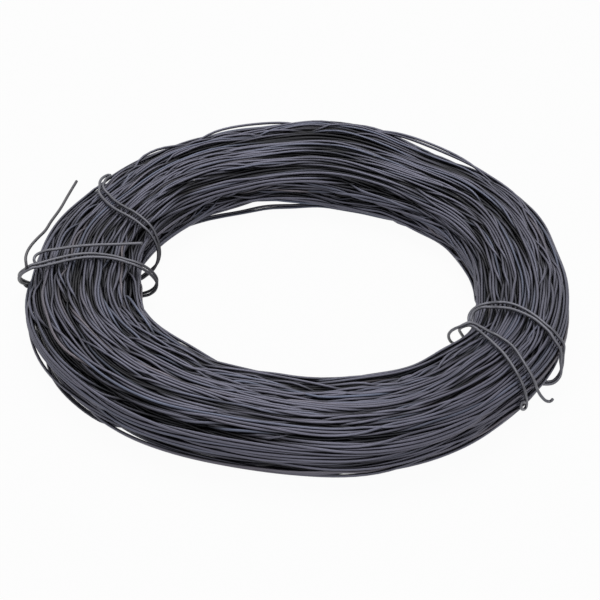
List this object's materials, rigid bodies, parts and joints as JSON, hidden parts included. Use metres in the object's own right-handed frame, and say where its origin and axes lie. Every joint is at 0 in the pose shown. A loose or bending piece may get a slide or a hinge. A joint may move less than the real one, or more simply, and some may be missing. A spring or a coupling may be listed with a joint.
{
  "type": "coil of binding wire",
  "caption": "Ring-shaped coil of annealed binding wire lying flat, wound loosely in many turns and held by two ties of the same wire folded double and wrapped through its bore.",
  "frame": {"origin": "on the coil's axis, at the level of the flat underside that it rests on", "axes": "+Z along the coil's axis, up from the surface it lies on; -X towards the tie with the long tail"},
  "size_m": [0.2637, 0.26, 0.0317],
  "materials": {
    "annealed_wire": "dark scale, satin",
    "tie_wire": "dark scale, satin"
  },
  "bodies": {
    "root": {"wire_coil": "annealed_wire", "long_tail_tie": "tie_wire", "hooked_tie": "tie_wire"}
  },
  "joints": []
}
